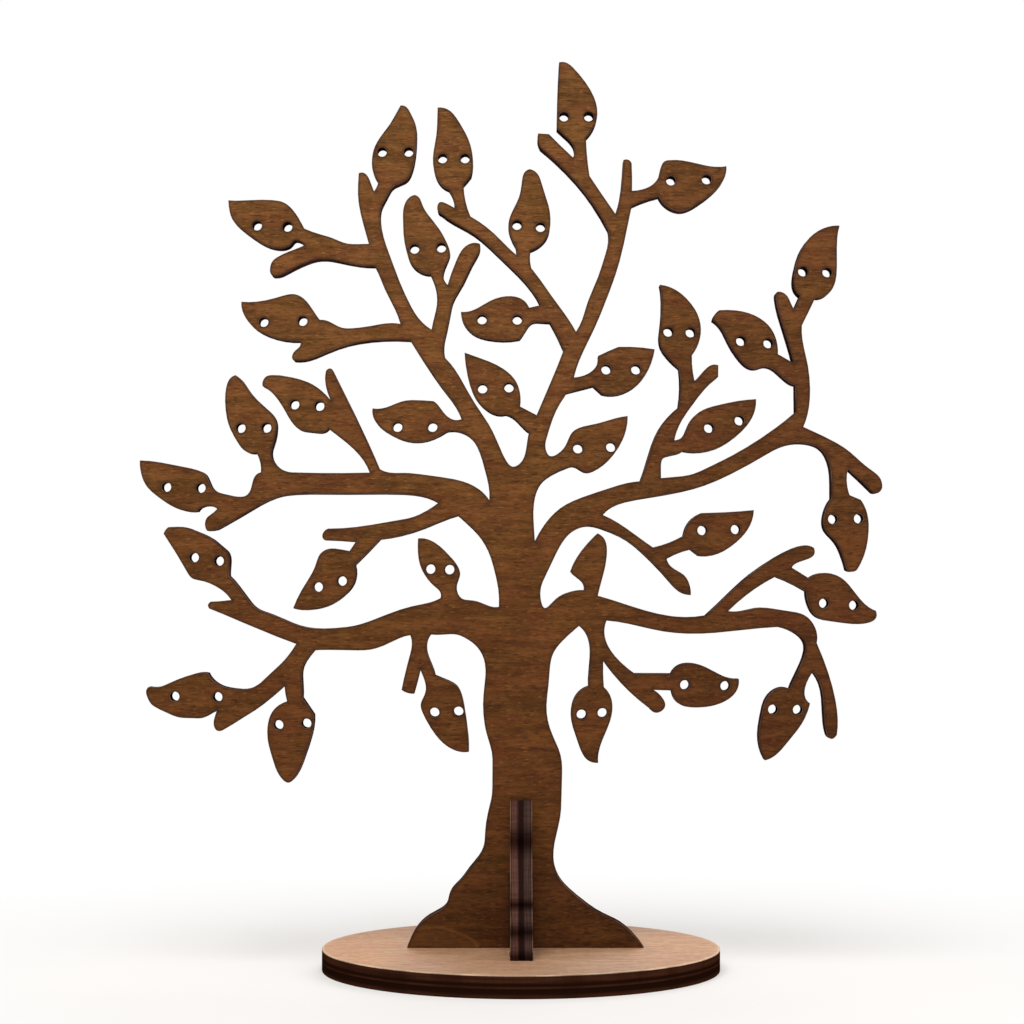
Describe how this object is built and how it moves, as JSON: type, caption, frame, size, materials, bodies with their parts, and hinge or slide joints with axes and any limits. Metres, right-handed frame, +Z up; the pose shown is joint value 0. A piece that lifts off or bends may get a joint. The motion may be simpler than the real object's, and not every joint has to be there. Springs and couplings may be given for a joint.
{
  "type": "jewelry tree",
  "caption": "Flat tree of stained plywood with pierced leaves for hanging earrings, cross-lapped with a root brace and tenoned into a round base.",
  "frame": {"origin": "middle of the round base's underside", "axes": "+Z up, +X to the right along the tree's sheet, the pictured front faces -Y"},
  "size_m": [0.2012, 0.108, 0.2461],
  "materials": {
    "base_plywood": "stained, satin",
    "brace_plywood": "stained, cut edges charred",
    "tree_plywood": "stained, cut edges charred"
  },
  "bodies": {
    "base": {"round_base": "base_plywood"},
    "brace": {"root_brace": "brace_plywood"},
    "tree": {"tree_panel": "tree_plywood"}
  },
  "joints": [
    {"name": "brace_lift", "type": "slide", "parent": "base", "child": "brace", "axis": [0, 0, 1], "range_m": [0, 0.02]},
    {"name": "tree_lift", "type": "slide", "parent": "brace", "child": "tree", "axis": [0, 0, 1], "range_m": [0, 0.05]}
  ]
}
